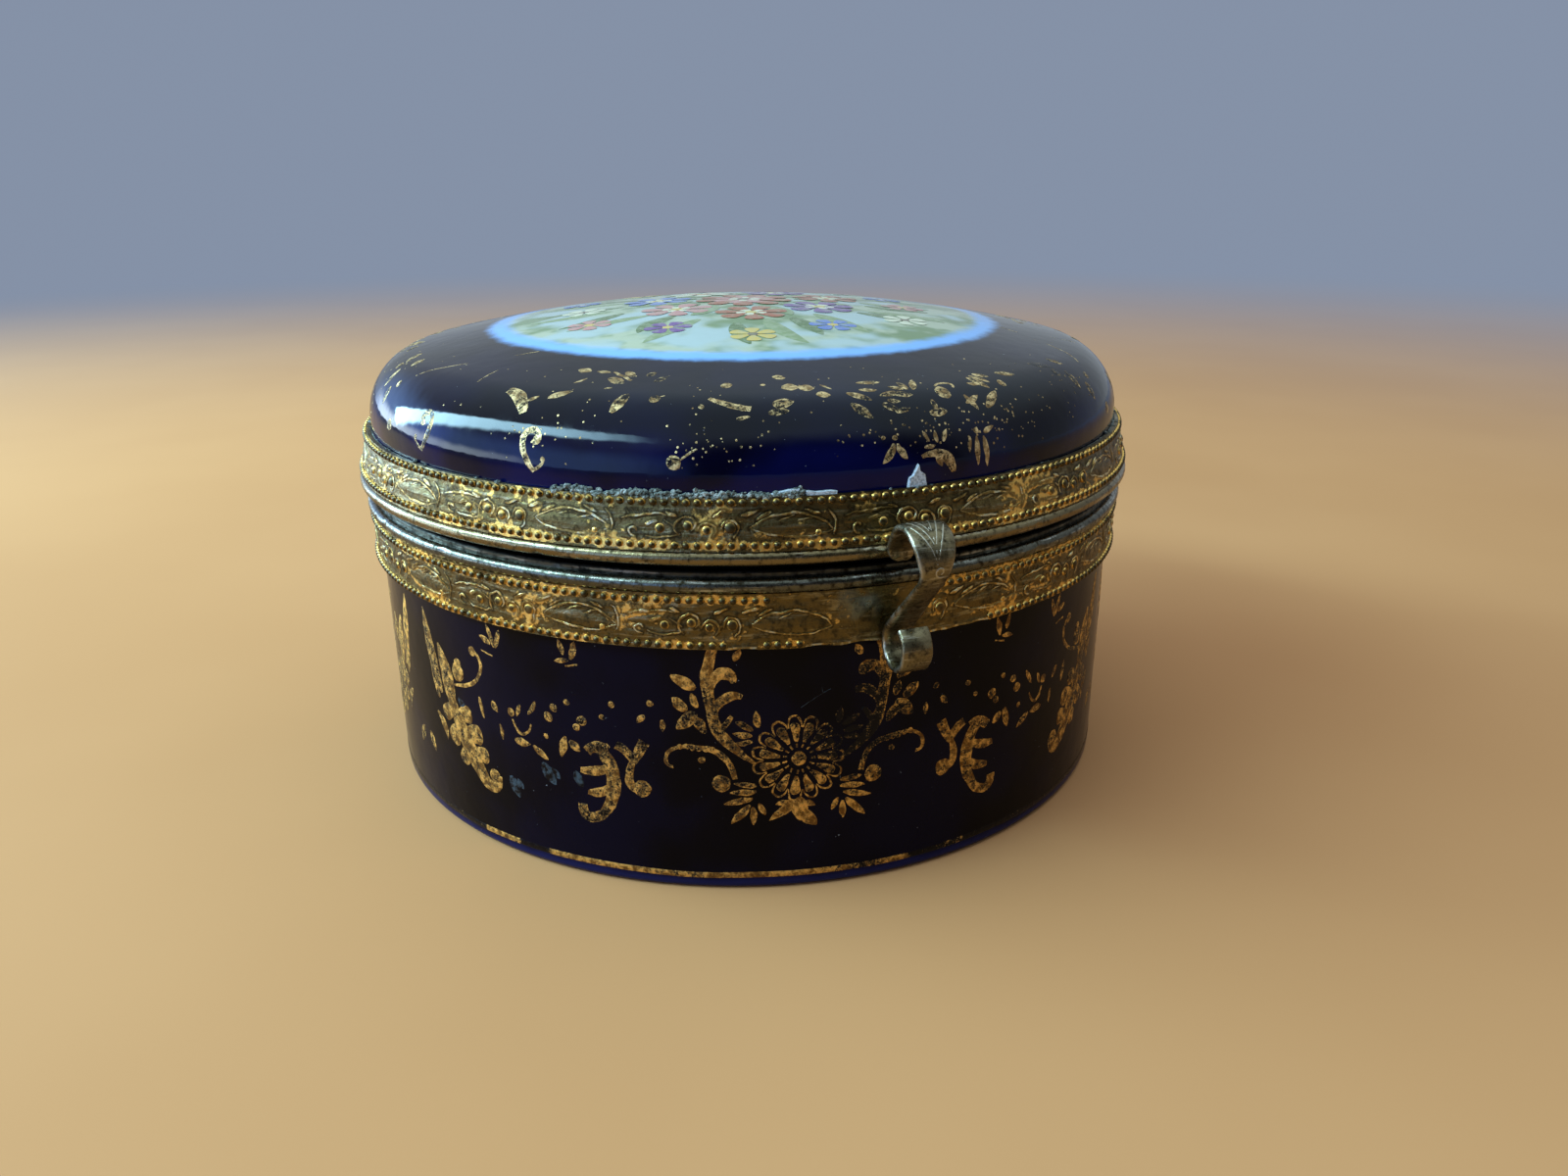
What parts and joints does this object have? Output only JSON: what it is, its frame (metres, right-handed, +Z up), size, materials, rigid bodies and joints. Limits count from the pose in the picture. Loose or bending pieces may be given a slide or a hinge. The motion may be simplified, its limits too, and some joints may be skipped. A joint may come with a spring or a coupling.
{
  "type": "porcelain trinket box",
  "caption": "Round cobalt-glazed porcelain trinket box with stamped brass mounts, a domed lid on a back hinge and a bent strip clasp with a finger curl.",
  "frame": {"origin": "centre of the foot ring, on the table", "axes": "+Z up along the box's axis, the clasp faces -Y and the hinge is at +Y"},
  "size_m": [0.089, 0.0996, 0.0514],
  "materials": {
    "cobalt_porcelain": "glossy dark cobalt glaze outside with worn gilding, white glaze inside",
    "bedding_plaster": "dry grey bedding plaster",
    "brass_rim": "plain rolled brass, tarnished with bright wear",
    "brass_gallery": "stamped brass with bead rows and scrolls, tarnished",
    "brass_hinge": "dull brass",
    "brass_clasp": "greyish worn brass"
  },
  "bodies": {
    "base": {"porcelain_body": "cobalt_porcelain", "body_cement": "bedding_plaster", "body_rim_ring": "brass_rim", "body_gallery_band": "brass_gallery", "body_hinge_leaf": "brass_hinge", "hinge_pin": "brass_hinge"},
    "lid": {"porcelain_lid": "cobalt_porcelain", "lid_cement": "bedding_plaster", "lid_rim_ring": "brass_rim", "lid_gallery_band": "brass_gallery", "lid_hinge_leaf": "brass_hinge"},
    "clasp": {"clasp": "brass_clasp"}
  },
  "joints": [
    {"name": "lid_hinge", "type": "hinge", "parent": "base", "child": "lid", "pos_m": [0, 0.0463, 0.0328], "axis": [-1, 0, 0], "range_deg": [0, 100]},
    {"name": "clasp_flex", "type": "hinge", "parent": "lid", "child": "clasp", "pos_m": [0, -0.04455, 0.03413], "axis": [-1, 0, 0], "range_deg": [0, 12], "stiffness_Nm_per_rad": 0.005}
  ]
}
